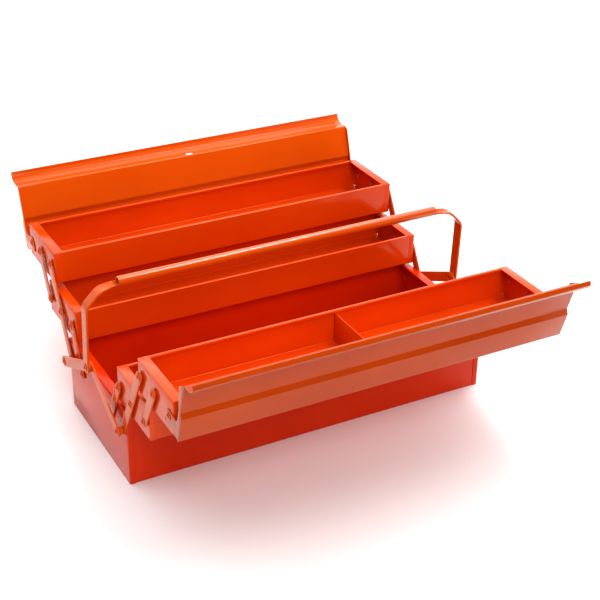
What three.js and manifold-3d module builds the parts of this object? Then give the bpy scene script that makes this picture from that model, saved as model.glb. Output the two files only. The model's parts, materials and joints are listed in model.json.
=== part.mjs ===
// A five-tray cantilever tool box in enamelled sheet steel, standing open.
// Millimetres, +Z up, X along the box, +Y to the rear. The origin is the middle of the base's underside.
import * as THREE from "three";
import { mergeVertices } from "three/addons/utils/BufferGeometryUtils.js";
import Module from "manifold-3d";

const wasm = await Module();
wasm.setup();

const { degToRad } = THREE.MathUtils;

// Driving dimensions.
const SHEET = 1;
const RUNNING_GAP = 0.3;
const BASE = { length: 530, depth: 210, height: 106 };
const TRAY = { length: 527, depth: 104.5, height: 46 };
const END_RIM = 13;
const LONG_HEM = 3.5;
const TIER_GAP = 0.8;
const DIVIDER = { height: 40, tab: 9 };

// The linkage: every arm spans one tier, or two for the long arm, and all pivots stand one pitch apart.
const PIVOT_INSET = 11;
const PIVOT_PITCH = 41.5;
const TIER_REACH = 66;
const BASE_PIVOT_HEIGHT = 78;
const OPEN_LEAN = degToRad(29.5);
const ARM = { width: 14, thickness: 2, face: 265.6 };
const STRUT = { width: 15, thickness: 2, frontFace: 273, rearFace: 275.5 };

// The lid, drawn shut: u runs from its pivot to the middle of the box, v runs up.
const LID_OPENING = degToRad(107);
const LID_PIVOT_HEIGHT = 21.7;
const LID_TAB_FACE = 263.9;
const LID_SKIRT = { u: -12, bottom: 15.8, top: 30 };
const LID_STEP = { start: 25.3, end: 31.4, drop: 4.7 };
const LID_NOSE = { u: 76.5, leanU: 3, rise: 12, bulgeU: 5.5, crestU: 6.5, crestRise: 2.3 };
// The rear lid's lip stands higher, so that it laps over the front lid's when both are shut.
const LID_BULGE_RISE = { front: 6.4, rear: 9 };
const LID_LIP = { front: { length: 4.4, drop: 3.4 }, rear: { length: 4.4, drop: 1.2 } };
const LID_EDGE_DEPTH = { front: 11, rear: 4.5 };
const LID_EDGE_CHAMFER = { front: 10.5, rear: 4.5 };
const PADLOCK_SLOT = { length: 12, height: 8, rise: 6, reach: 6 };

// The carrying handle: a flat strip bail on a rivet at each end, with a tube round its top run.
// The bail is drawn upright and then leans a little to the front.
const HANDLE_PIVOT = { y: -7, height: 125 };
const HANDLE_LEAN = degToRad(3);
const BAIL = { width: 16, thickness: 3, footFace: 278, taper: 1.2 };
const BAIL_CORNER = { armTop: 215, insetX: 19.5, bend: 14 };
const GRIP = { height: 241.5, length: 468.5, radius: 6.3, bore: 5.4, stripDrop: 3.1 };
const TONGUE = { width: 6, thickness: 2 };
const OVERLAP = 2;

// Hollow rivets, drawn along the box's length from the tail inside to the head outside.
const RIVET = { bore: 2.6, shank: 3.5, tail: 5.2, head: 5.6, flange: 0.8 };
const RIVET_HOLE = 4;
const RIVET_SEGMENTS = 8;
const ARC_STEPS = 6;

const ENAMEL = { color: 0xe4500c, roughness: 0.28, metalness: 0 };
const INNER_ENAMEL = { color: 0xe04a0a, roughness: 0.3, metalness: 0 };
const LINK_ENAMEL = { color: 0xdd4c10, roughness: 0.34, metalness: 0 };
const RIVET_ENAMEL = { color: 0xd04410, roughness: 0.4, metalness: 0 };
const GRIP_ENAMEL = { color: 0xe85410, roughness: 0.25, metalness: 0 };

const box = new THREE.Group();

function addMesh(parent, name, geometry, finish) {
  const mesh = new THREE.Mesh(geometry, new THREE.MeshStandardMaterial(finish));
  mesh.name = name;
  parent.add(mesh);
  return mesh;
}

function placed(parent, y, z, turn = 0) {
  const group = new THREE.Group();
  group.position.set(0, y, z);
  group.rotation.x = turn;
  parent.add(group);
  return group;
}

// Joining and cutting.

function toSolid(geometry) {
  const bare = geometry.index ? geometry.toNonIndexed() : geometry.clone();
  bare.deleteAttribute("normal");
  bare.deleteAttribute("uv");
  const merged = mergeVertices(bare, 1e-4);
  return new wasm.Manifold(
    new wasm.Mesh({
      numProp: 3,
      vertProperties: merged.attributes.position.array,
      triVerts: new Uint32Array(merged.index.array),
    }),
  );
}

function toGeometry(solid) {
  const { vertProperties, triVerts } = solid.getMesh();
  const geometry = new THREE.BufferGeometry();
  geometry.setAttribute("position", new THREE.BufferAttribute(vertProperties, 3));
  geometry.setIndex(new THREE.BufferAttribute(triVerts, 1));
  geometry.computeVertexNormals();
  return geometry;
}

function joined(...geometries) {
  return toGeometry(geometries.map(toSolid).reduce((all, next) => all.add(next)));
}

function cut(geometry, tool) {
  return toGeometry(toSolid(geometry).subtract(toSolid(tool)));
}

// Outlines in the plane across the box's length: the first axis is Y, the second is Z.

function pathShape(points) {
  return new THREE.Shape(points.map(([a, b]) => new THREE.Vector2(a, b)));
}

// The outline of a bent sheet from the line along the middle of its thickness, mitred at each bend.
function sheetShape(points, thickness = SHEET) {
  const line = points.map(([a, b]) => new THREE.Vector2(a, b));
  const last = line.length - 1;
  const normalOf = (i) => {
    const run = line[i + 1].clone().sub(line[i]).normalize();
    return new THREE.Vector2(-run.y, run.x);
  };
  const offsets = line.map((_, i) => {
    const before = normalOf(Math.max(i - 1, 0));
    const after = normalOf(Math.min(i, last - 1));
    const mitre = before.clone().add(after).normalize();
    return mitre.multiplyScalar(thickness / 2 / mitre.dot(after));
  });
  const left = line.map((p, i) => p.clone().add(offsets[i]));
  const right = line.map((p, i) => p.clone().sub(offsets[i]));
  return new THREE.Shape([...right, ...left.reverse()]);
}

function withHoles(shape, centres) {
  for (const [a, b] of centres) {
    const hole = new THREE.Path();
    hole.absarc(a, b, RIVET_HOLE, 0, 2 * Math.PI, true);
    shape.holes.push(hole);
  }
  return shape;
}

function extruded(shape, depth, steps = ARC_STEPS) {
  return new THREE.ExtrudeGeometry(shape, { depth, bevelEnabled: false, curveSegments: steps });
}

// A shape in the Y-Z plane, extruded along X from the given start.
function alongLength(shape, start, depth) {
  const turn = new THREE.Matrix4().makeBasis(
    new THREE.Vector3(0, 1, 0),
    new THREE.Vector3(0, 0, 1),
    new THREE.Vector3(1, 0, 0),
  );
  return extruded(shape, depth).applyMatrix4(turn).translate(start, 0, 0);
}

// A shape in the X-Z plane, extruded along Y and centred on the plane Y = 0.
function acrossDepth(shape, depth) {
  return extruded(shape, depth)
    .rotateX(Math.PI / 2)
    .translate(0, depth / 2, 0);
}

// A plate parallel to the box's ends, with its inner face at the given distance from the middle.
function endPlate(shape, face, thickness, end) {
  const start = end > 0 ? face : -face - thickness;
  return alongLength(shape, start, thickness);
}

function block(sizeX, sizeY, sizeZ, x, y, z) {
  return new THREE.BoxGeometry(sizeX, sizeY, sizeZ).translate(x, y, z);
}

// Sheet-metal pans: a folded channel closed by an end wall with a wide turned-in rim at each end.
// The pan's outer long wall stands at Y = 0 and its depth runs along +Y.
function pan({ length, depth, height }, holes) {
  const half = SHEET / 2;
  const top = height - half;
  const channel = sheetShape([
    [LONG_HEM, top],
    [half, top],
    [half, half],
    [depth - half, half],
    [depth - half, top],
    [depth - LONG_HEM, top],
  ]);
  const wall = pathShape([
    [0, 0],
    [depth, 0],
    [depth, height],
    [0, height],
  ]);
  withHoles(wall, holes);
  const pieces = [alongLength(channel, -length / 2, length)];
  for (const end of [-1, 1]) {
    const rimX = end * (length / 2 - END_RIM / 2);
    pieces.push(endPlate(wall, length / 2 - SHEET, SHEET, end));
    pieces.push(block(END_RIM, depth, SHEET, rimX, depth / 2, top));
  }
  return joined(...pieces);
}

// A flat bar from the origin along Z with round ends and a rivet hole at each of its stations.
function barShape(length, width, stations) {
  const bar = new THREE.Shape();
  bar.absarc(0, 0, width / 2, Math.PI, 2 * Math.PI, false);
  bar.absarc(0, length, width / 2, 0, Math.PI, false);
  return withHoles(
    bar,
    stations.map((station) => [0, station]),
  );
}

// A hollow rivet between two faces, with an optional shoulder that spaces the plates it joins.
function rivet(from, to, end, shoulder) {
  const tailFace = from - RUNNING_GAP;
  const headFace = to + RUNNING_GAP;
  const profile = [
    [RIVET.bore, tailFace - RIVET.flange],
    [RIVET.tail, tailFace - RIVET.flange],
    [RIVET.tail, tailFace],
    [RIVET.shank, tailFace],
  ];
  if (shoulder) {
    const [low, high] = [shoulder[0] + RUNNING_GAP, shoulder[1] - RUNNING_GAP];
    profile.push([RIVET.shank, low], [RIVET.tail, low], [RIVET.tail, high], [RIVET.shank, high]);
  }
  profile.push(
    [RIVET.shank, headFace],
    [RIVET.head, headFace],
    [RIVET.head, headFace + RIVET.flange],
    [RIVET.bore, headFace + RIVET.flange],
  );
  profile.push(profile[0]);
  const points = profile.map(([radius, x]) => new THREE.Vector2(radius, x));
  return new THREE.LatheGeometry(points, RIVET_SEGMENTS).rotateZ((-end * Math.PI) / 2);
}

// Worked-out places, for the front half: out of the box is -Y.

const shutRise = Math.sqrt(TIER_REACH ** 2 - PIVOT_PITCH ** 2);
const midPivot = { depth: PIVOT_INSET + PIVOT_PITCH };
midPivot.height = BASE_PIVOT_HEIGHT + shutRise - (BASE.height + TIER_GAP);
const topPivot = { depth: PIVOT_INSET + 2 * PIVOT_PITCH };
topPivot.height = midPivot.height + shutRise - (TRAY.height + TIER_GAP);
const armStep = { y: -TIER_REACH * Math.sin(OPEN_LEAN), z: TIER_REACH * Math.cos(OPEN_LEAN) };
const basePivot = { y: PIVOT_INSET - BASE.depth / 2, z: BASE_PIVOT_HEIGHT };
const armTop = ARM.face + ARM.thickness;
const baseWall = BASE.length / 2 - SHEET;
const trayWall = TRAY.length / 2 - SHEET;
const ends = { left: -1, right: 1 };

function baseBox() {
  const holes = [0, PIVOT_PITCH].flatMap((along) => [
    [PIVOT_INSET + along, BASE_PIVOT_HEIGHT],
    [BASE.depth - PIVOT_INSET - along, BASE_PIVOT_HEIGHT],
  ]);
  return pan(BASE, holes).translate(0, -BASE.depth / 2, 0);
}

function midTray() {
  const across = [PIVOT_INSET, midPivot.depth, topPivot.depth];
  return pan(
    TRAY,
    across.map((y) => [y, midPivot.height]),
  );
}

function topTray() {
  const holes = [midPivot.depth, topPivot.depth].map((y) => [y, topPivot.height]);
  return pan(TRAY, [[PIVOT_INSET, LID_PIVOT_HEIGHT], ...holes]);
}

// A dropped-in partition: a plate across the tray with a tab turned along each long wall.
function divider() {
  const near = SHEET + RUNNING_GAP;
  const far = TRAY.depth - near;
  const half = SHEET / 2;
  const plan = sheetShape([
    [DIVIDER.tab, near + half],
    [0, near + half],
    [0, far - half],
    [DIVIDER.tab, far - half],
  ]);
  return extruded(plan, DIVIDER.height).translate(0, 0, near);
}

// The lid's section from the skirt over the outer wall to the lip past the middle line.
const lidPlate = LID_SKIRT.top - LID_STEP.drop;

function lidSection(side) {
  const shoulder = { u: LID_NOSE.u + LID_NOSE.leanU, v: lidPlate + LID_NOSE.rise };
  const bulge = { u: shoulder.u + LID_NOSE.bulgeU, v: shoulder.v + LID_BULGE_RISE[side] };
  const crest = { u: bulge.u + LID_NOSE.crestU, v: bulge.v + LID_NOSE.crestRise };
  return sheetShape([
    [LID_SKIRT.u, LID_SKIRT.bottom],
    [LID_SKIRT.u, LID_SKIRT.top],
    [LID_STEP.start, LID_SKIRT.top],
    [LID_STEP.end, lidPlate],
    [LID_NOSE.u, lidPlate],
    [shoulder.u, shoulder.v],
    [bulge.u, bulge.v],
    [crest.u, crest.v],
    [crest.u + LID_LIP[side].length, crest.v - LID_LIP[side].drop],
  ]);
}

// The lid's folded end: a shallow edge along the plate that widens to an ear round the pivot.
function lidEar(side) {
  const earRadius = 8.5;
  const outerU = LID_SKIRT.u - SHEET / 2;
  const shallow = LID_EDGE_DEPTH.rear;
  const ear = new THREE.Shape();
  ear.moveTo(outerU, LID_SKIRT.top);
  ear.lineTo(outerU, -earRadius);
  ear.lineTo(0, -earRadius);
  ear.absarc(0, 0, earRadius, -Math.PI / 2, 0, false);
  ear.quadraticCurveTo(earRadius + 1, lidPlate - shallow, LID_STEP.start, lidPlate - shallow);
  ear.lineTo(LID_STEP.end, lidPlate - shallow);
  ear.lineTo(LID_NOSE.u - LID_EDGE_CHAMFER[side], lidPlate - LID_EDGE_DEPTH[side]);
  ear.lineTo(LID_NOSE.u, lidPlate);
  ear.lineTo(LID_STEP.end, lidPlate);
  ear.lineTo(LID_STEP.start, LID_SKIRT.top);
  return withHoles(ear, [[0, 0]]);
}

function padlockSlot() {
  const radius = PADLOCK_SLOT.height / 2;
  const offset = PADLOCK_SLOT.length / 2 - radius;
  const slot = new THREE.Shape();
  slot.absarc(offset, 0, radius, -Math.PI / 2, Math.PI / 2, false);
  slot.absarc(-offset, 0, radius, Math.PI / 2, (3 * Math.PI) / 2, false);
  const middleU = LID_NOSE.u + LID_NOSE.leanU / 2;
  return acrossDepth(slot, PADLOCK_SLOT.reach).translate(0, middleU, lidPlate + PADLOCK_SLOT.rise);
}

function lid(side) {
  const reach = LID_TAB_FACE + SHEET;
  const pieces = [alongLength(lidSection(side), -reach, 2 * reach)];
  for (const end of Object.values(ends)) {
    pieces.push(endPlate(lidEar(side), LID_TAB_FACE, SHEET, end));
  }
  return cut(joined(...pieces), padlockSlot());
}

function arm(tiers, end) {
  const stations = Array.from({ length: tiers + 1 }, (_, i) => i * TIER_REACH);
  const shape = barShape(tiers * TIER_REACH, ARM.width, stations);
  return endPlate(shape, ARM.face, ARM.thickness, end);
}

// One side's trays, arms, lid and rivets, built as the front side. The rear side is this one turned round.
function buildSide(side) {
  const half = new THREE.Group();
  half.rotation.z = side === "rear" ? Math.PI : 0;
  box.add(half);
  const turned = side === "rear" ? -1 : 1;

  const midY = basePivot.y + armStep.y;
  const midZ = basePivot.z + armStep.z;
  const topY = midY + armStep.y;
  const topZ = midZ + armStep.z;
  const mid = placed(half, midY - midPivot.depth, midZ - midPivot.height);
  const top = placed(half, topY - topPivot.depth, topZ - topPivot.height);
  const lidPivot = placed(top, PIVOT_INSET, LID_PIVOT_HEIGHT, LID_OPENING);
  addMesh(mid, `${side}_mid_tray`, midTray(), INNER_ENAMEL);
  addMesh(top, `${side}_top_tray`, topTray(), INNER_ENAMEL);
  addMesh(lidPivot, `${side}_lid`, lid(side), ENAMEL);
  if (side === "front") addMesh(top, "tray_divider", divider(), INNER_ENAMEL);

  const strutFace = STRUT[`${side}Face`];
  const tierRivets = [
    ["long_arm_mid_rivet", midY, midZ],
    ["long_arm_top_rivet", topY, topZ],
    ["lower_arm_tray_rivet", midY + PIVOT_PITCH, midZ],
    ["upper_arm_mid_rivet", midY - PIVOT_PITCH, midZ],
    ["upper_arm_top_rivet", topY - PIVOT_PITCH, topZ],
  ];
  for (const [endName, worldEnd] of Object.entries(ends)) {
    const end = worldEnd * turned;
    const named = (piece) => `${side}_${piece}_${endName}`;
    const atBase = placed(half, basePivot.y, basePivot.z, OPEN_LEAN);
    const atLower = placed(half, basePivot.y + PIVOT_PITCH, basePivot.z, OPEN_LEAN);
    const atUpper = placed(half, midY - PIVOT_PITCH, midZ, OPEN_LEAN);
    addMesh(atBase, named("long_arm"), arm(2, end), LINK_ENAMEL);
    addMesh(atLower, named("lower_arm"), arm(1, end), LINK_ENAMEL);
    addMesh(atUpper, named("upper_arm"), arm(1, end), LINK_ENAMEL);

    const strutTop = strutFace + STRUT.thickness;
    const baseRivet = rivet(baseWall, strutTop, end, [armTop, strutFace]);
    const lowerRivet = rivet(baseWall, armTop, end);
    const lowerPivot = placed(half, basePivot.y + PIVOT_PITCH, basePivot.z);
    addMesh(placed(half, basePivot.y, basePivot.z), named("base_rivet"), baseRivet, RIVET_ENAMEL);
    addMesh(lowerPivot, named("lower_arm_base_rivet"), lowerRivet, RIVET_ENAMEL);
    for (const [piece, y, z] of tierRivets) {
      addMesh(placed(half, y, z), named(piece), rivet(trayWall, armTop, end), RIVET_ENAMEL);
    }
    const lidRivet = rivet(trayWall, LID_TAB_FACE + SHEET, end);
    const lidRivetPlace = placed(top, PIVOT_INSET, LID_PIVOT_HEIGHT);
    addMesh(lidRivetPlace, named("lid_rivet"), lidRivet, RIVET_ENAMEL);
  }
}

// The struts rise from the outer base rivets and meet on the handle's rivet, just ahead of the middle.
function buildStruts() {
  const rise = HANDLE_PIVOT.height - basePivot.z;
  for (const [endName, end] of Object.entries(ends)) {
    for (const [side, out] of [
      ["front", 1],
      ["rear", -1],
    ]) {
      const footY = out * basePivot.y;
      const run = HANDLE_PIVOT.y - footY;
      const length = Math.hypot(run, rise);
      const shape = barShape(length, STRUT.width, [0, length]);
      const group = placed(box, footY, basePivot.z, -Math.atan2(run, rise));
      const plate = endPlate(shape, STRUT[`${side}Face`], STRUT.thickness, end);
      addMesh(group, `${side}_handle_strut_${endName}`, plate, LINK_ENAMEL);
    }
  }
}

// Half of the bail's centre line, from the foot up to the shoulder at the grip's end.
function bailLine() {
  const foot = BAIL.footFace + BAIL.thickness / 2;
  const armX = foot - BAIL.taper;
  const stripZ = GRIP.height - GRIP.stripDrop;
  const corners = [
    [armX, BAIL_CORNER.armTop],
    [armX - BAIL_CORNER.insetX, stripZ],
  ].map(([x, z]) => new THREE.Vector2(x, z));
  const start = new THREE.Vector2(foot, HANDLE_PIVOT.height + BAIL.width / 2);
  const stop = new THREE.Vector2(GRIP.length / 2 + 2 * SHEET, stripZ);
  const line = new THREE.Path().moveTo(start.x, start.y);
  corners.forEach((at, i) => {
    const before = i ? corners[i - 1] : start;
    const after = corners[i + 1] ?? stop;
    const entry = at.clone().add(before.clone().sub(at).setLength(BAIL_CORNER.bend));
    const exit = at.clone().add(after.clone().sub(at).setLength(BAIL_CORNER.bend));
    line.lineTo(entry.x, entry.y);
    line.quadraticCurveTo(at.x, at.y, exit.x, exit.y);
  });
  line.lineTo(stop.x, stop.y);
  return line.getPoints(ARC_STEPS).map((p) => [p.x, p.y]);
}

function bail() {
  const stripZ = GRIP.height - GRIP.stripDrop;
  const shoulder = GRIP.length / 2 + 2 * SHEET;
  const pieces = [block(2 * shoulder + OVERLAP, TONGUE.width, TONGUE.thickness, 0, 0, stripZ)];
  for (const end of Object.values(ends)) {
    const line = bailLine().map(([x, z]) => [end * x, z]);
    const strip = sheetShape(end > 0 ? line : line.reverse(), BAIL.thickness);
    const foot = barShape(BAIL.width / 2 + OVERLAP, BAIL.width, [0]);
    const footPlate = endPlate(foot, BAIL.footFace, BAIL.thickness, end);
    pieces.push(acrossDepth(strip, BAIL.width));
    pieces.push(footPlate.translate(0, 0, HANDLE_PIVOT.height));
  }
  return joined(...pieces);
}

function grip() {
  const ring = new THREE.Shape();
  ring.absarc(0, 0, GRIP.radius, 0, 2 * Math.PI, false);
  const bore = new THREE.Path();
  bore.absarc(0, 0, GRIP.bore, 0, 2 * Math.PI, true);
  ring.holes.push(bore);
  return alongLength(ring, -GRIP.length / 2, GRIP.length).translate(0, 0, GRIP.height);
}

function buildHandle() {
  const leaning = placed(box, HANDLE_PIVOT.y, HANDLE_PIVOT.height, HANDLE_LEAN);
  const upright = placed(leaning, 0, -HANDLE_PIVOT.height);
  addMesh(upright, "handle_bail", bail(), LINK_ENAMEL);
  addMesh(upright, "handle_grip", grip(), GRIP_ENAMEL);
  const outerFace = BAIL.footFace + BAIL.thickness;
  for (const [endName, end] of Object.entries(ends)) {
    const pin = rivet(STRUT.frontFace, outerFace, end);
    const pinPlace = placed(box, HANDLE_PIVOT.y, HANDLE_PIVOT.height);
    addMesh(pinPlace, `handle_rivet_${endName}`, pin, RIVET_ENAMEL);
  }
}

addMesh(box, "base_box", baseBox(), ENAMEL);
buildSide("front");
buildSide("rear");
buildStruts();
buildHandle();

export default box;
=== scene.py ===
"""A cantilever tool box in glossy orange enamel, with a deep base and four trays, open on a pale floor.

Shapes are worked out in millimetres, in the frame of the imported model, and scaled to metres as they
become objects. The rear half is the front half turned round, apart from its lid's edges and paint and
its struts' places."""

import json
import math

import bmesh
import bpy
from mathutils import Matrix, Vector


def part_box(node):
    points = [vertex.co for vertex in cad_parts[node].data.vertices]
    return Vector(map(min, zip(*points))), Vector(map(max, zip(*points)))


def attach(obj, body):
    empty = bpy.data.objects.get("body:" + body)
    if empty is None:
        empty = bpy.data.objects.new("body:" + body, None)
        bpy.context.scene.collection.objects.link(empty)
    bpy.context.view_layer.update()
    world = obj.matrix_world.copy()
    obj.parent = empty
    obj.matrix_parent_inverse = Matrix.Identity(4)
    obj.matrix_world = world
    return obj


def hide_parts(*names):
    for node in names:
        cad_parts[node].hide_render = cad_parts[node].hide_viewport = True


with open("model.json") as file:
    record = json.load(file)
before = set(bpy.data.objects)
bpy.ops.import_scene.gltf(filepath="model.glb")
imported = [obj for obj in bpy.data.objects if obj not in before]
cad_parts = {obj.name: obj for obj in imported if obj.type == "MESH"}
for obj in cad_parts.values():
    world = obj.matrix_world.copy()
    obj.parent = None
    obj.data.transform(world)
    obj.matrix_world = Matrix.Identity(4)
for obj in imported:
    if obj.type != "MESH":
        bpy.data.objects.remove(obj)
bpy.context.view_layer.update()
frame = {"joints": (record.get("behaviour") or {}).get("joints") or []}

MM = 0.001
SIDES = ("front", "rear")
ENDS = {"left": -1, "right": 1}
TURNS = {"front": Matrix.Identity(4), "rear": Matrix.Rotation(math.pi, 4, "Z")}
MIRROR = Matrix.Scale(-1, 4, (1, 0, 0))

# Sheet metal, in millimetres. A bend's radius is measured halfway through the sheet.
SHEET = 1.0
FOLD = 1.6
CHANNEL_INSET = 1.2
HEM = {"width": 3.5, "drop": 3.6, "bend": 0.9}
CREASE = {"rise": 31.0, "depth": 0.5, "bend": 3.0}
CORNER_WRAP = {"width": 8.0, "proud": 0.25}
RIM = {"width": 13.0, "seam": 3.2, "gap": 0.35, "proud": 0.1, "lift": 0.08}
CORNER_RELIEF = {"inset": 2.6, "rise": 1.6, "radius": 1.4}
HOLE_RADIUS = 3.9

# The lid, drawn shut: u runs from its pivot to the middle of the box, v runs up. LID_BENDS are the radii
# of its corners, from the skirt's top to the crest.
LID_OPENING = math.radians(107)
LID_SKIRT = {"u": -12.0, "bottom": 15.8, "top": 30.0}
LID_STEP = {"start": 25.3, "end": 31.4, "drop": 4.7}
LID_PLATE = LID_SKIRT["top"] - LID_STEP["drop"]
LID_NOSE = {"u": 76.5, "lean": 3.0, "rise": 12.0}
LID_BULGE = {"front": Vector((5.5, 6.4)), "rear": Vector((5.5, 9.0))}
LID_CREST = Vector((6.5, 2.3))
LID_LIP = {"front": Vector((4.4, -3.4)), "rear": Vector((4.4, -1.2))}
LID_BENDS = (2.2, 1.2, 1.2, 1.6, 2.0, 3.0, 1.2)
LID_END_FACE = 263.9
LID_EDGE_DEPTH = {"front": 11.0, "rear": 4.5}
LID_EDGE_CHAMFER = 10.5
LID_HEEL = 2.0
LID_EAR = {"radius": 8.5, "flare": 1.0, "sweep": 16.0}
PADLOCK_SLOT = {"length": 12.0, "height": 8.0, "rise": 6.0, "reach": 3.0}

# The linkage: flat bars, each arm with its rivets in order from its lower end.
ARM_RIVETS = {
    "long_arm": ("base_rivet", "long_arm_mid_rivet", "long_arm_top_rivet"),
    "lower_arm": ("lower_arm_base_rivet", "lower_arm_tray_rivet"),
    "upper_arm": ("upper_arm_mid_rivet", "upper_arm_top_rivet"),
}
ARM = {"width": 14.0, "thickness": 2.0, "face": 265.6}
STRUT = {"width": 15.0, "thickness": 2.0, "front": 273.0, "rear": 275.5}
BAR_EDGE = 0.35

# A rivet, and the curves of its section as (outward, along) steps from a radius and a face.
RIVET = {"bore": 2.6, "shank": 3.4, "head": 5.5, "tail": 5.1, "flange": 0.9, "play": 0.25}
TAIL_MOUTH = ((0.5, 0.0), (0.0, 0.5))
HEAD_MOUTH = ((0.0, -0.6), (0.25, -0.15), (0.8, 0.0))
HEAD_DOME = ((-1.1, 0.82), (-0.35, 0.54), (0.0, 0.15), (-0.2, 0.0))
TAIL_ROLL = ((-0.2, 0.0), (0.0, -0.2), (-0.3, -0.63), (-1.0, -0.9))

# The handle. TROUGH is the bail's form where it meets the grip.
BAIL = {"width": 16.0, "thickness": 3.0, "foot": 278.0, "taper": 1.2}
BAIL_CORNER = {"arm_top": 215.0, "inset": 19.5, "bend": 17.0}
BAIL_EDGE = {"radius": 0.7, "width_share": 0.45, "thickness_share": 0.9}
TROUGH = {"width": 18.4, "thickness": 0.9, "radius": 5.85, "fade": 28.0, "gap": 0.05}
GRIP = {"height": 241.5, "length": 468.5, "radius": 6.3, "bore": 5.4, "lip": 0.3}
HANDLE_LEAN = math.radians(3)

# How finely shapes are made. STRAIGHT is half the angle at a corner that is left unbent, and BEND_SHARE
# the part of a run that one bend may take up.
EDGE = 0.28
EDGE_SEGMENTS = 2
SHARP_ANGLE = math.radians(40)
SMOOTH_ANGLE = math.radians(32)
STRAIGHT = math.radians(89.99)
BEND_SHARE = 0.49
LONG_CUTS = 8
DRILL = {"reach": 300.0, "sides": 24}
BAIL_STEP = {"first": 0.05, "spacing": 1.5, "across": 12}
LEAST_CURL = 1e-6
WELD = 1e-7

# Enamels. Colour drifts from deep to bright, and roughness over the range of gloss. Wave is how uneven the
# sheet looks, and sheen how strongly the coat reflects. The box is one orange enamel; the case, front lid
# and rear lid entries are copies of it made darker or lighter as painted shade and painted light.
ENAMELS = {
    # The case's colour is darker and redder than the trays' as painted shade, where the base sits under
    # the overhanging trays.
    "case": {
        "deep": (0.6, 0.03, 0.001),
        "bright": (0.66, 0.038, 0.001),
        "gloss": (0.12, 0.18),
        "wave": 0.1,
        "sheen": 0.22,
    },
    # The front lid's colour is darkened as painted shade: the same enamel as the rear lid, made darker
    # where the lid faces down, away from the light.
    "front_lid": {
        "deep": (0.42, 0.05, 0.001),
        "bright": (0.47, 0.06, 0.002),
        "gloss": (0.1, 0.16),
        "wave": 0.1,
        "sheen": 0.33,
    },
    # The rear lid's colour is lightened as painted light: the same enamel as the front lid, made brighter
    # where the lid's inside faces the light.
    "rear_lid": {
        "deep": (0.69, 0.092, 0.001),
        "bright": (0.74, 0.106, 0.002),
        "gloss": (0.1, 0.16),
        "wave": 0.1,
        "sheen": 0.33,
    },
    "tray": {
        "deep": (0.65, 0.058, 0.001),
        "bright": (0.7, 0.072, 0.002),
        "gloss": (0.12, 0.19),
        "wave": 0.09,
        "sheen": 0.33,
    },
    "link": {
        "deep": (0.6, 0.08, 0.002),
        "bright": (0.66, 0.094, 0.003),
        "gloss": (0.14, 0.22),
        "wave": 0.03,
        "sheen": 0.33,
    },
    "rivet": {
        "deep": (0.62, 0.06, 0.002),
        "bright": (0.68, 0.074, 0.003),
        "gloss": (0.24, 0.32),
        "wave": 0.02,
        "sheen": 0.33,
    },
    "grip": {
        "deep": (0.62, 0.085, 0.002),
        "bright": (0.67, 0.1, 0.003),
        "gloss": (0.1, 0.16),
        "wave": 0.04,
        "sheen": 0.9,
    },
}

# The enamel's noises, as (features per metre, detail, stretch), and the depth of its relief in metres.
DRIFT = (7.0, 3.0)
SMEARS = (22.0, 4.0, (0.35, 1.0, 1.0))
WAVES = (9.0, 1.0, (0.5, 1.0, 1.0))
PEEL = (650.0, 1.0)
WAVE_DEPTH = 0.004
PEEL_DEPTH = 0.00004
PEEL_STRENGTH = 0.35

# The camera, as an orbit round a point inside the box.
VIEW = {"azimuth": -28.605, "elevation": 28.972, "roll": 1.096, "distance": 1.8324, "lens": 80.33}
VIEW_TARGET = Vector((0.032, 0.0, 0.1428))
SENSOR_WIDTH = 36

# The studio, in metres: a pale floor, a bright screen in the sky and two softboxes.
FLOOR = {"size": 40, "greys": (0.85, 0.87), "mottle": 3.0, "roughness": 0.6}
SCREEN = {"direction": (0.35, 0.65, 0.68), "strength": 1.7, "greys": (0.04, 1.0), "edge": (0.05, 0.75)}
SOFTBOXES = {
    "overhead": {
        "place": (0.75, -0.2, 2.1),
        "target": (0.1, 0.1, 0.1),
        "width": 1.6,
        "height": 0.4,
        "power": 3.4,
        "spread": 80,
    },
    "front": {
        "place": (-0.5, -2.2, 1.9),
        "target": (0, 0, 0.1),
        "width": 1.4,
        "height": 1.2,
        "power": 4.5,
        "spread": 50,
    },
}


# Lines and outlines in a plane.


def arc(centre, radius, start, end, steps=12):
    """Points on an arc, from one angle in degrees to another."""
    turn = [math.radians(start + (end - start) * i / steps) for i in range(steps + 1)]
    return [centre + Vector((math.cos(a), math.sin(a))) * radius for a in turn]


def circle(centre, radius, sides):
    """Points round a circle, one for each of its sides."""
    return arc(centre, radius, 0, 360 - 360 / sides, sides - 1)


def folded(points, bends, steps=6):
    """A line with each inner corner rounded to its bend radius."""
    corners = [Vector(p) for p in points]
    line = [corners[0]]
    for before, corner, after, bend in zip(corners, corners[1:], corners[2:], bends):
        into = (before - corner).normalized()
        out = (after - corner).normalized()
        half_angle = into.angle(out) / 2
        if half_angle > STRAIGHT:
            line.append(corner)
            continue
        reach = bend / math.tan(half_angle)
        shorter = min((before - corner).length, (after - corner).length)
        reach = min(reach, BEND_SHARE * shorter)
        radius = reach * math.tan(half_angle)
        centre = corner + (into + out).normalized() * (radius / math.sin(half_angle))
        first = corner + into * reach - centre
        sweep = first.angle_signed(corner + out * reach - centre)
        for i in range(steps + 1):
            spoke = first.copy()
            spoke.rotate(Matrix.Rotation(-sweep * i / steps, 2))
            line.append(centre + spoke)
    line.append(corners[-1])
    return line


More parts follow.
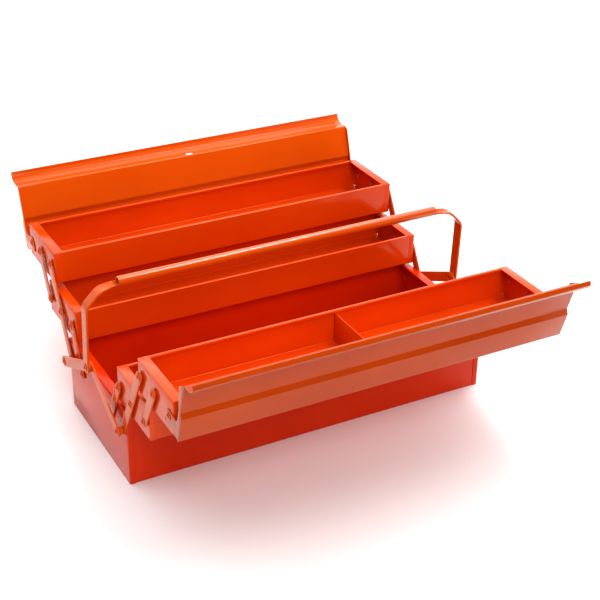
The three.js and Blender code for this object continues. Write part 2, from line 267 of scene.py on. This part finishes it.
def strip_outline(line):
    """The outline of a bent sheet, from the line along the middle of its thickness."""
    runs = [(b - a).normalized() for a, b in zip(line, line[1:])]
    sides = [Vector((-run.y, run.x)) for run in runs]
    offsets = []
    for i in range(len(line)):
        before, after = sides[max(i - 1, 0)], sides[min(i, len(sides) - 1)]
        mitre = (before + after).normalized()
        offsets.append(mitre * (SHEET / 2 / mitre.dot(after)))
    left = [p + o for p, o in zip(line, offsets)]
    right = [p - o for p, o in zip(line, offsets)]
    return right + left[::-1]


def bar_outline(start, end, width):
    """A flat bar with round ends, centred on two rivets."""
    heading = math.degrees(math.atan2(end.y - start.y, end.x - start.x))
    top = arc(end, width / 2, heading - 90, heading + 90)
    return top + arc(start, width / 2, heading + 90, heading + 270)


def slot_outline(centre, length, height):
    """A slot with round ends, lying along the first axis."""
    radius = height / 2
    offset = Vector((length / 2 - radius, 0))
    return arc(centre + offset, radius, -90, 90) + arc(centre - offset, radius, 90, 270)


# Solids. An axis function puts a flat point and a distance along the extrusion into space.


def along_x(p, distance):
    return Vector((distance, p.x, p.y))


def along_y(p, distance):
    return Vector((p.x, distance, p.y))


def along_z(p, distance):
    return Vector((p.x, p.y, distance))


def skinned(mesh, rings, looped=False):
    """Joins each ring of points to the next, and closes the ends, or the last ring onto the first."""
    following = rings[1:] + rings[:1] if looped else rings[1:]
    count = len(rings[0])
    for low, high in zip(rings, following):
        for i in range(count):
            j = (i + 1) % count
            mesh.faces.new((low[i], low[j], high[j], high[i]))
    if not looped:
        mesh.faces.new(rings[0][::-1])
        mesh.faces.new(rings[-1])
    bmesh.ops.recalc_face_normals(mesh, faces=mesh.faces)
    return mesh


def prism(outline, axis, start, end, cuts=1):
    """An outline extruded along an axis."""
    mesh = bmesh.new()
    rings = []
    for i in range(cuts + 1):
        distance = start + (end - start) * i / cuts
        rings.append([mesh.verts.new(axis(p, distance)) for p in outline])
    return skinned(mesh, rings)


def eased(mesh, width=EDGE):
    """Rounds a solid's sharp edges, as paint does on sheared metal."""
    mesh.normal_update()
    sharp = [e for e in mesh.edges if e.is_manifold and e.calc_face_angle() > SHARP_ANGLE]
    bmesh.ops.bevel(
        mesh, geom=sharp, offset=width, segments=EDGE_SEGMENTS, profile=0.5, affect="EDGES"
    )
    return mesh


def revolved(profile, segments=32):
    """A ring round the X axis, from (radius, x) points in order round its section."""
    mesh = bmesh.new()
    rings = []
    for i in range(segments):
        angle = 2 * math.pi * i / segments
        rings.append(
            [mesh.verts.new((x, r * math.cos(angle), r * math.sin(angle))) for r, x in profile]
        )
    return skinned(mesh, rings, looped=True)


def moved(mesh, matrix):
    """Moves a solid, and keeps its faces outward when the move mirrors it."""
    mesh.transform(matrix)
    if matrix.determinant() < 0:
        bmesh.ops.reverse_faces(mesh, faces=mesh.faces)
    return mesh


def at_both_ends(shells):
    """The right end's shells, and the same shells mirrored for the left end."""
    return [*shells, *(moved(shell.copy(), MIRROR) for shell in shells)]


def cut(mesh, tools):
    """The solid with each tool's space taken out of it."""
    target = bpy.data.objects.new("cut", bpy.data.meshes.new("cut"))
    mesh.to_mesh(target.data)
    cutter = bpy.data.objects.new("cutter", bpy.data.meshes.new("cutter"))
    gathered(tools).to_mesh(cutter.data)
    for piece in (target, cutter):
        bpy.context.scene.collection.objects.link(piece)
    boolean = target.modifiers.new("cut", "BOOLEAN")
    boolean.operation = "DIFFERENCE"
    boolean.solver = "EXACT"
    boolean.object = cutter
    evaluated = target.evaluated_get(bpy.context.evaluated_depsgraph_get())
    result = bmesh.new()
    result.from_mesh(evaluated.to_mesh())
    for piece in (target, cutter):
        bpy.data.objects.remove(piece)
    return result


def gathered(meshes):
    """Several solids as the shells of one mesh."""
    whole = bmesh.new()
    for mesh in meshes:
        part = bpy.data.meshes.new("part")
        mesh.to_mesh(part)
        whole.from_mesh(part)
        bpy.data.meshes.remove(part)
    return whole


def drilled(mesh, centres, radius=HOLE_RADIUS):
    """Cuts round holes along X, through the (y, z) centres."""
    reach = DRILL["reach"]
    pins = [prism(circle(c, radius, DRILL["sides"]), along_x, -reach, reach) for c in centres]
    return cut(mesh, pins)


def finished(name, shells, body, material, slot, *nodes, turn=None):
    """Makes a piece of the object from its shells: in place, on its body, in its paint."""
    whole = gathered(shells)
    whole.transform(Matrix.Scale(MM, 4) @ (turn or Matrix.Identity(4)))
    bmesh.ops.dissolve_degenerate(whole, edges=whole.edges, dist=WELD)
    bmesh.ops.recalc_face_normals(whole, faces=whole.faces)
    mesh = bpy.data.meshes.new(name)
    whole.to_mesh(mesh)
    mesh.shade_smooth()
    mesh.set_sharp_from_angle(angle=SMOOTH_ANGLE)
    mesh.materials.append(material)
    piece = bpy.data.objects.new(name, mesh)
    bpy.context.scene.collection.objects.link(piece)
    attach(piece, body)
    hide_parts(*nodes)


# Paint.


def node_tree(name):
    """A new material with the nodes and links it is built from."""
    material = bpy.data.materials.new(name)
    material.use_nodes = True
    return material, material.node_tree.nodes, material.node_tree.links


def noise(nodes, links, coordinates, scale, detail=2.0, stretch=None):
    """A noise texture in object space, with scale features to the metre."""
    texture = nodes.new("ShaderNodeTexNoise")
    texture.inputs["Scale"].default_value = scale
    texture.inputs["Detail"].default_value = detail
    source = coordinates.outputs["Object"]
    if stretch:
        mapping = nodes.new("ShaderNodeMapping")
        mapping.inputs["Scale"].default_value = stretch
        links.new(source, mapping.inputs["Vector"])
        source = mapping.outputs["Vector"]
    links.new(source, texture.inputs["Vector"])
    return texture.outputs["Fac"]


def ramp(nodes, links, factor, low, high, positions=(0.3, 0.7)):
    """A colour ramp between two colours or two greys."""
    ramped = nodes.new("ShaderNodeValToRGB")
    for element, value, position in zip(ramped.color_ramp.elements, (low, high), positions):
        element.position = position
        element.color = (*value, 1) if isinstance(value, tuple) else (value, value, value, 1)
    links.new(factor, ramped.inputs["Fac"])
    return ramped.outputs["Color"]


def bump(nodes, links, height, distance, strength, under=None):
    """A layer of relief, laid over the one under it."""
    layer = nodes.new("ShaderNodeBump")
    layer.inputs["Distance"].default_value = distance
    layer.inputs["Strength"].default_value = strength
    links.new(height, layer.inputs["Height"])
    if under:
        links.new(under, layer.inputs["Normal"])
    return layer.outputs["Normal"]


def enamel(name, deep, bright, gloss, wave, sheen):
    """Stoved enamel on steel: a drift of colour and gloss, orange peel, and the sheet's own waves."""
    material, nodes, links = node_tree(name)
    shader = nodes["Principled BSDF"]
    coordinates = nodes.new("ShaderNodeTexCoord")
    drift = noise(nodes, links, coordinates, *DRIFT)
    links.new(ramp(nodes, links, drift, deep, bright), shader.inputs["Base Color"])
    smears = noise(nodes, links, coordinates, *SMEARS)
    links.new(ramp(nodes, links, smears, *gloss), shader.inputs["Roughness"])
    waves = noise(nodes, links, coordinates, *WAVES)
    peel = noise(nodes, links, coordinates, *PEEL)
    sheet_normal = bump(nodes, links, waves, WAVE_DEPTH, wave)
    peel_normal = bump(nodes, links, peel, PEEL_DEPTH, PEEL_STRENGTH, sheet_normal)
    links.new(peel_normal, shader.inputs["Normal"])
    shader.inputs["Specular IOR Level"].default_value = sheen
    return material


def floor_paint():
    """A matt, nearly white floor with a faint mottle."""
    material, nodes, links = node_tree("pale_floor")
    shader = nodes["Principled BSDF"]
    coordinates = nodes.new("ShaderNodeTexCoord")
    mottle = noise(nodes, links, coordinates, FLOOR["mottle"])
    links.new(ramp(nodes, links, mottle, *FLOOR["greys"]), shader.inputs["Base Color"])
    shader.inputs["Roughness"].default_value = FLOOR["roughness"]
    return material


PAINTS = {name: enamel(f"{name}_enamel", **look) for name, look in ENAMELS.items()}


# Places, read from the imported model.


def joint_place(name):
    """A joint's place in the Y-Z plane, in millimetres."""
    joint = next(j for j in frame["joints"] if j["name"] == name)
    return Vector(joint["pos_m"][1:]) / MM


def node_box(node):
    """A node's lowest and highest corners, in millimetres."""
    low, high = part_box(node)
    return low / MM, high / MM


def rivet_places():
    """Each rivet's place on the front half, by the name of its node."""
    base = joint_place("front_cantilever")
    middle = joint_place("front_mid_tray_pivot")
    top = joint_place("front_top_tray_pivot")
    lower = joint_place("front_lower_arms_pivot")
    upper = joint_place("front_upper_arms_pivot")
    return {
        "base_rivet": base,
        "long_arm_mid_rivet": middle,
        "long_arm_top_rivet": top,
        "lower_arm_base_rivet": lower,
        "lower_arm_tray_rivet": lower + middle - base,
        "upper_arm_mid_rivet": upper,
        "upper_arm_top_rivet": upper + top - middle,
        "lid_rivet": joint_place("front_lid_hinge"),
    }


PLACES = rivet_places()
HANDLE_PIVOT = joint_place("handle_swing")
BASE_BOX = node_box("base_box")
TRAY_BOXES = {tray: node_box(f"front_{tray}") for tray in ("mid_tray", "top_tray")}
TRAY_RIVETS = {
    "mid_tray": ("long_arm_mid_rivet", "lower_arm_tray_rivet", "upper_arm_mid_rivet"),
    "top_tray": ("long_arm_top_rivet", "upper_arm_top_rivet", "lid_rivet"),
}


# Folded pans.


def pan_channel(low, high, crease):
    """The floor and the long walls, hemmed along their tops and pushed in a little along a low crease."""
    half = SHEET / 2
    near, far, bottom, top = low.y + half, high.y - half, low.z + half, high.z - half
    crease_z = bottom + CREASE["rise"]
    line = folded(
        [
            (near + HEM["width"], top - HEM["drop"]),
            (near + HEM["width"], top),
            (near, top),
            (near + crease, crease_z),
            (near, bottom),
            (far, bottom),
            (far - crease, crease_z),
            (far, top),
            (far - HEM["width"], top),
            (far - HEM["width"], top - HEM["drop"]),
        ],
        [HEM["bend"], HEM["bend"], CREASE["bend"], FOLD, FOLD, CREASE["bend"], HEM["bend"], HEM["bend"]],
    )
    start, stop = low.x + CHANNEL_INSET, high.x - CHANNEL_INSET
    return eased(prism(strip_outline(line), along_x, start, stop, LONG_CUTS))


def pan_end(low, high, holes, seam):
    """The right end: a wall that wraps round both corners, under a wide turned-in rim."""
    half = SHEET / 2
    wall_x = high.x - half
    near = low.y + half - CORNER_WRAP["proud"]
    far = high.y - half + CORNER_WRAP["proud"]
    wrap = folded(
        [
            (wall_x - CORNER_WRAP["width"], near),
            (wall_x, near),
            (wall_x, far),
            (wall_x - CORNER_WRAP["width"], far),
        ],
        [FOLD, FOLD],
    )
    wall_top = high.z - (RIM["seam"] if seam else SHEET)
    wall = eased(prism(strip_outline(wrap), along_z, low.z + EDGE, wall_top))
    rim_x = wall_x + (RIM["proud"] if seam else 0)
    rim_z = high.z - half + RIM["lift"]
    rim_line = folded(
        [
            (rim_x, high.z - RIM["seam"] + RIM["gap"]),
            (rim_x, rim_z),
            (high.x - RIM["width"], rim_z),
        ],
        [FOLD],
    )
    rim = eased(prism(strip_outline(rim_line), along_y, low.y + EDGE, high.y - EDGE))
    wall = drilled(wall, holes)
    if seam:
        relief_z = low.z + SHEET + CORNER_RELIEF["rise"]
        inset = CORNER_RELIEF["inset"]
        reliefs = [Vector((y, relief_z)) for y in (low.y + inset, high.y - inset)]
        wall = drilled(wall, reliefs, CORNER_RELIEF["radius"])
    return [wall, rim]


def pan_shells(low, high, holes, seam, crease=0.0):
    """A whole pan; a seam shows under a tray's rims, where the base has none."""
    return [pan_channel(low, high, crease), *at_both_ends(pan_end(low, high, holes, seam))]


def base_box():
    """The deep pan, drilled for both sides' arms at each end."""
    low, high = BASE_BOX
    holes = [PLACES["base_rivet"], PLACES["lower_arm_base_rivet"]]
    holes += [Vector((-hole.x, hole.y)) for hole in holes]
    shells = pan_shells(low, high, holes, seam=False, crease=CREASE["depth"])
    # The case paint is darkened and reddened as painted shade under the trays.
    finished("base_box_shell", shells, "root", PAINTS["case"], "case", "base_box")


def tray(side, which):
    """A middle or a top tray, with a hole for each of its rivets."""
    low, high = TRAY_BOXES[which]
    shells = pan_shells(low, high, [PLACES[r] for r in TRAY_RIVETS[which]], seam=True)
    node = f"{side}_{which}"
    finished(f"{node}_shell", shells, node, PAINTS["tray"], "tray", node, turn=TURNS[side])


def divider():
    """A plate dropped across the front top tray, with a tab against each long wall."""
    low, high = node_box("tray_divider")
    half = SHEET / 2
    middle = low.x + half
    plan = folded(
        [
            (high.x, low.y + half),
            (middle, low.y + half),
            (middle, high.y - half),
            (high.x, high.y - half),
        ],
        [FOLD, FOLD],
    )
    plate = eased(prism(strip_outline(plan), along_z, low.z, high.z))
    finished("tray_divider_plate", [plate], "front_top_tray", PAINTS["tray"], "tray", "tray_divider")


# Lids.


def lid_turn(side):
    """From the shut lid's own plane to its open place on its side of the box."""
    pivot = PLACES["lid_rivet"]
    hinge = Matrix.Translation((0, pivot.x, pivot.y)) @ Matrix.Rotation(LID_OPENING, 4, "X")
    return TURNS[side] @ hinge


def lid_section(side):
    """The sheet's line from the skirt's lower edge, over the step and the nose, to the lip."""
    shoulder = Vector((LID_NOSE["u"] + LID_NOSE["lean"], LID_PLATE + LID_NOSE["rise"]))
    bulge = shoulder + LID_BULGE[side]
    crest = bulge + LID_CREST
    return folded(
        [
            (LID_SKIRT["u"], LID_SKIRT["bottom"]),
            (LID_SKIRT["u"], LID_SKIRT["top"]),
            (LID_STEP["start"], LID_SKIRT["top"]),
            (LID_STEP["end"], LID_PLATE),
            (LID_NOSE["u"], LID_PLATE),
            shoulder,
            bulge,
            crest,
            crest + LID_LIP[side],
        ],
        LID_BENDS,
    )


def lid_end(side):
    """The right end's folded edge, which widens into an ear round the pivot."""
    shallow = LID_PLATE - LID_EDGE_DEPTH["rear"]
    deep = LID_PLATE - LID_EDGE_DEPTH[side]
    radius = LID_EAR["radius"]
    outer = LID_SKIRT["u"] - SHEET / 2
    heel = arc(Vector((outer + LID_HEEL, LID_HEEL - radius)), LID_HEEL, 180, 270, steps=5)
    ear = arc(Vector((0, 0)), radius, -90, 0, steps=10)
    neck = [(radius, 0), (radius + LID_EAR["flare"], shallow), (LID_STEP["start"], shallow)]
    sweep = folded(neck, [LID_EAR["sweep"]], steps=10)
    chamfer = min(LID_EDGE_CHAMFER, LID_EDGE_DEPTH[side])
    outline = [
        Vector((outer, LID_SKIRT["top"] - SHEET)),
        *heel,
        *ear[:-1],
        *sweep,
        Vector((LID_STEP["end"], shallow)),
        Vector((LID_NOSE["u"] - chamfer, deep)),
        Vector((LID_NOSE["u"], LID_PLATE)),
        Vector((LID_STEP["end"], LID_PLATE)),
        Vector((LID_STEP["start"], LID_SKIRT["top"])),
    ]
    flange = eased(prism(outline, along_x, LID_END_FACE, LID_END_FACE + SHEET))
    return drilled(flange, [Vector((0, 0))])


def lid(side):
    """A lid half: its folded sheet with a padlock slot in the nose, and an edge at each end."""
    reach = LID_END_FACE + SHEET
    sheet = eased(prism(strip_outline(lid_section(side)), along_x, -reach, reach, LONG_CUTS))
    slot_u = LID_NOSE["u"] + LID_NOSE["lean"] / 2
    slot_centre = Vector((0, LID_PLATE + PADLOCK_SLOT["rise"]))
    hole = slot_outline(slot_centre, PADLOCK_SLOT["length"], PADLOCK_SLOT["height"])
    slot_reach = PADLOCK_SLOT["reach"]
    sheet = cut(sheet, [prism(hole, along_y, slot_u - slot_reach, slot_u + slot_reach)])
    name = f"{side}_lid"
    shells = [sheet, *at_both_ends([lid_end(side)])]
    # Each lid takes its side's paint: the front lid's is darkened as painted shade and the rear lid's
    # lightened as painted light.
    finished(f"{name}_shell", shells, name, PAINTS[name], "case", name, turn=lid_turn(side))


# Arms, struts and rivets.


def end_plate(outline, face, thickness, holes, end):
    """A flat plate against an end of the box, its edges eased."""
    start = face if end > 0 else -face - thickness
    return drilled(eased(prism(outline, along_x, start, start + thickness), BAR_EDGE), holes)


def arm(side, name, end_name):
    """One arm at one end of the box, with a hole at each of its rivets."""
    places = [PLACES[rivet_name] for rivet_name in ARM_RIVETS[name]]
    outline = bar_outline(places[0], places[-1], ARM["width"])
    end = ENDS[end_name] * (1 if side == "front" else -1)
    shell = end_plate(outline, ARM["face"], ARM["thickness"], places, end)
    node = f"{side}_{name}_{end_name}"
    body = f"{side}_{name}s"
    finished(f"{node}_bar", [shell], body, PAINTS["link"], "linkage", node, turn=TURNS[side])


def arms(side):
    """A side's long, lower and upper arms at both ends."""
    for end_name in ENDS:
        for name in ARM_RIVETS:
            arm(side, name, end_name)


def strut(side, end_name):
    """A fixed bar from a side's base rivet up to the handle's pivot."""
    foot = PLACES["base_rivet"]
    if side == "rear":
        foot = Vector((-foot.x, foot.y))
    outline = bar_outline(foot, HANDLE_PIVOT, STRUT["width"])
    holes = [foot, HANDLE_PIVOT]
    shell = end_plate(outline, STRUT[side], STRUT["thickness"], holes, ENDS[end_name])
    node = f"{side}_handle_strut_{end_name}"
    finished(f"{node}_bar", [shell], "root", PAINTS["link"], "linkage", node)


def stepped(radius, face, steps):
    """Points of a section, from their steps outward and along."""
    return [(radius + outward, face + along) for outward, along in steps]


def rivet_profile(inner_face, outer_face, shoulder=None):
    """Half the section of a hollow rivet: a rolled tail, an optional spacer and a domed head outside."""
    bore, shank, head, tail = (RIVET[k] for k in ("bore", "shank", "head", "tail"))
    low, high = inner_face - RIVET["play"], outer_face + RIVET["play"]
    section = stepped(bore, low - RIVET["flange"], TAIL_MOUTH)
    section += stepped(bore, high + RIVET["flange"], HEAD_MOUTH)
    section += [*stepped(head, high, HEAD_DOME), (shank, high)]
    if shoulder:
        near, far = shoulder[0] + RIVET["play"], shoulder[1] - RIVET["play"]
        section += [(shank, far), (tail, far), (tail, near), (shank, near)]
    return [*section, (shank, low), *stepped(tail, low, TAIL_ROLL)]


def rivet(name, body, place, end, inner_face, outer_face, shoulder=None, turn=None):
    """A rivet through the faces it holds, with its head outward at the given end."""
    shell = revolved(rivet_profile(inner_face, outer_face, shoulder))
    if end < 0:
        moved(shell, MIRROR)
    moved(shell, Matrix.Translation((0, place.x, place.y)))
    finished(f"{name}_hollow", [shell], body, PAINTS["rivet"], "rivet", name, turn=turn)


def side_rivets(side):
    """Both ends' rivets of one side, each on the body it is fixed to."""
    base_wall = BASE_BOX[1].x - SHEET
    tray_wall = TRAY_BOXES["mid_tray"][1].x - SHEET
    arm_top = ARM["face"] + ARM["thickness"]
    strut_face = STRUT[side]
    base_stack = (base_wall, strut_face + STRUT["thickness"], (arm_top, strut_face))
    for end_name, end in ENDS.items():
        at = end if side == "front" else -end
        stacks = {
            "base_rivet": ("root", base_stack),
            "lower_arm_base_rivet": ("root", (base_wall, arm_top)),
            "lid_rivet": (f"{side}_top_tray", (tray_wall, LID_END_FACE + SHEET)),
        }
        for which, rivets in TRAY_RIVETS.items():
            for rivet_name in rivets:
                stacks.setdefault(rivet_name, (f"{side}_{which}", (tray_wall, arm_top)))
        for rivet_name, (body, stack) in stacks.items():
            name = f"{side}_{rivet_name}_{end_name}"
            rivet(name, body, PLACES[rivet_name], at, *stack, turn=TURNS[side])


# The handle.


def bail_line():
    """Half the bail's centre line in the X-Z plane, from its foot to the grip's mouth."""
    foot = BAIL["foot"] + BAIL["thickness"] / 2
    arm_x = foot - BAIL["taper"]
    strip_z = GRIP["height"] - TROUGH["radius"]
    grip_end = GRIP["length"] / 2
    points = [
        (foot, HANDLE_PIVOT.y - BAIL["width"] / 2),
        (foot, HANDLE_PIVOT.y + BAIL["width"] / 2),
        (arm_x, BAIL_CORNER["arm_top"]),
        (arm_x - BAIL_CORNER["inset"], strip_z),
        (grip_end + TROUGH["gap"], strip_z),
    ]
    bend = BAIL_CORNER["bend"]
    return folded(points, [bend, bend, bend], steps=8)


def resampled(line, spacing):
    """The same line with points at most one spacing apart."""
    points = [line[0]]
    for a, b in zip(line, line[1:]):
        steps = max(1, math.ceil((b - a).length / spacing))
        points += [a.lerp(b, (i + 1) / steps) for i in range(steps)]
    return points


def rounded_section(half_width, half_thickness, radius, steps=3):
    """A flat bar's cross-section with rounded corners, as (across, through) points."""
    corners = ((1, 1, 0), (-1, 1, 90), (-1, -1, 180), (1, -1, 270))
    points = []
    for x, y, start in corners:
        centre = Vector((x * (half_width - radius), y * (half_thickness - radius)))
        points += arc(centre, radius, start, start + 90, steps)
        if x == y:
            first = points[-1]
            cuts = BAIL_STEP["across"]
            points += [Vector((first.x * (1 - 2 * k / cuts), first.y)) for k in range(1, cuts)]
    return points


def troughed(across, rise, curl):
    """Bends a flat section into part of a ring, keeping the length of its middle line."""
    if curl < LEAST_CURL:
        return across, rise
    radius = 1 / curl
    angle = across * curl
    return (radius - rise) * math.sin(angle), radius - (radius - rise) * math.cos(angle)


def bail_half():
    """The strip swept up its line, round at the foot and rolled into a trough under the grip's mouth."""
    line = resampled(bail_line(), BAIL_STEP["spacing"])
    grip_end = GRIP["length"] / 2
    round_end = BAIL["width"] / 2
    mesh = bmesh.new()
    rings = []
    travelled = 0.0
    for i, point in enumerate(line):
        before, after = line[max(i - 1, 0)], line[min(i + 1, len(line) - 1)]
        travelled += (point - before).length
        heading = (after - before).normalized()
        through = Vector((heading.y, -heading.x))
        rolled = (grip_end + TROUGH["fade"] - point.x) / TROUGH["fade"]
        rolled = min(max(rolled, 0), 1)
        smooth = rolled * rolled * (3 - 2 * rolled)
        half_width = round_end + (TROUGH["width"] / 2 - round_end) * smooth
        depth = max(round_end - max(travelled, BAIL_STEP["first"]), 0)
        half_width = min(half_width, math.sqrt(max(round_end**2 - depth**2, 0)))
        half_thick = (BAIL["thickness"] + (TROUGH["thickness"] - BAIL["thickness"]) * smooth) / 2
        roundest = min(half_width * BAIL_EDGE["width_share"], half_thick * BAIL_EDGE["thickness_share"])
        section = rounded_section(half_width, half_thick, min(BAIL_EDGE["radius"], roundest))
        ring = []
        for flat_across, flat_rise in section:
            across, rise = troughed(flat_across, flat_rise, smooth / TROUGH["radius"])
            place = point + through * rise
            ring.append(mesh.verts.new((place.x, across, place.y)))
        rings.append(ring)
    return drilled(skinned(mesh, rings), [Vector((0, HANDLE_PIVOT.y))])


def grip_section():
    """The grip's wall, from its bore to its outside, with its edges eased at both mouths."""
    half, radius, bore, lip = GRIP["length"] / 2, GRIP["radius"], GRIP["bore"], GRIP["lip"]
    section = [(bore, lip - half), (bore, half - lip), (bore + lip, half), (radius - lip, half)]
    section += [(radius, half - lip), (radius, lip - half), (radius - lip, -half)]
    return [*section, (bore + lip, -half)]


def handle():
    """The bail and its grip, drawn upright over the middle and then leant on the handle's rivets."""
    hinge = Matrix.Translation((0, *HANDLE_PIVOT))
    lean = hinge @ Matrix.Rotation(HANDLE_LEAN, 4, "X") @ Matrix.Translation((0, 0, -HANDLE_PIVOT.y))
    strips = at_both_ends([bail_half()])
    bail = ("handle_bail_strip", strips, "handle", PAINTS["link"], "linkage", "handle_bail")
    finished(*bail, turn=lean)
    tube = revolved(grip_section(), segments=48)
    moved(tube, Matrix.Translation((0, 0, GRIP["height"])))
    grip = ("handle_grip_tube", [tube], "handle", PAINTS["grip"], "grip_tube", "handle_grip")
    finished(*grip, turn=lean)
    outer = BAIL["foot"] + BAIL["thickness"]
    for end_name, end in ENDS.items():
        name = f"handle_rivet_{end_name}"
        rivet(name, "root", HANDLE_PIVOT, end, STRUT["front"], outer)


# The setting.


def floor():
    """The studio's floor, which is not part of the object."""
    bpy.ops.mesh.primitive_plane_add(size=FLOOR["size"])
    plane = bpy.context.object
    plane.name = "floor"
    plane.data.materials.append(floor_paint())


def softbox(name, place, target, width, height, power, spread):
    """A light pointing at its target; its narrow spread in degrees stands for a grid in front of it."""
    light = bpy.data.lights.new(name, "AREA")
    light.shape = "RECTANGLE"
    light.size = width
    light.size_y = height
    light.energy = power
    light.spread = math.radians(spread)
    lamp = bpy.data.objects.new(name, light)
    lamp.location = place
    lamp.rotation_euler = (Vector(target) - Vector(place)).to_track_quat("-Z", "Y").to_euler()
    bpy.context.scene.collection.objects.link(lamp)


def sky():
    """A dim studio with a wide bright screen high up behind the box and to its right."""
    world = bpy.data.worlds.new("studio")
    world.use_nodes = True
    nodes, links = world.node_tree.nodes, world.node_tree.links
    coordinates = nodes.new("ShaderNodeTexCoord")
    facing = nodes.new("ShaderNodeVectorMath")
    facing.operation = "DOT_PRODUCT"
    facing.inputs[1].default_value = SCREEN["direction"]
    links.new(coordinates.outputs["Generated"], facing.inputs[0])
    levels = ramp(nodes, links, facing.outputs["Value"], *SCREEN["greys"], SCREEN["edge"])
    links.new(levels, nodes["Background"].inputs["Color"])
    nodes["Background"].inputs["Strength"].default_value = SCREEN["strength"]
    bpy.context.scene.world = world


def lights():
    """The sky's screen and the softboxes."""
    sky()
    for name, setting in SOFTBOXES.items():
        softbox(name, **setting)


def camera():
    """The camera on its orbit, looking at its target and rolled a little."""
    azimuth, elevation, roll = (math.radians(VIEW[k]) for k in ("azimuth", "elevation", "roll"))
    level = math.cos(elevation)
    back = Vector(
        (math.sin(azimuth) * level, -math.cos(azimuth) * level, math.sin(elevation))
    )
    right = (-back).cross(Vector((0, 0, 1))).normalized()
    upright = back.cross(right)
    turned = Matrix((right, upright, back)).transposed() @ Matrix.Rotation(roll, 3, "Z")
    lens = bpy.data.cameras.new("camera")
    lens.lens = VIEW["lens"]
    lens.sensor_width = SENSOR_WIDTH
    eye = bpy.data.objects.new("camera", lens)
    eye.matrix_world = (
        Matrix.Translation(VIEW_TARGET + back * VIEW["distance"]) @ turned.to_4x4()
    )
    bpy.context.scene.collection.objects.link(eye)
    bpy.context.scene.camera = eye


bpy.context.scene.view_settings.view_transform = "Standard"
bpy.context.scene.view_settings.look = "Medium High Contrast"
camera()
lights()
floor()
base_box()
divider()
for side_name in SIDES:
    for tray_name in TRAY_BOXES:
        tray(side_name, tray_name)
    lid(side_name)
    arms(side_name)
    side_rivets(side_name)
    for strut_end in ENDS:
        strut(side_name, strut_end)
handle()
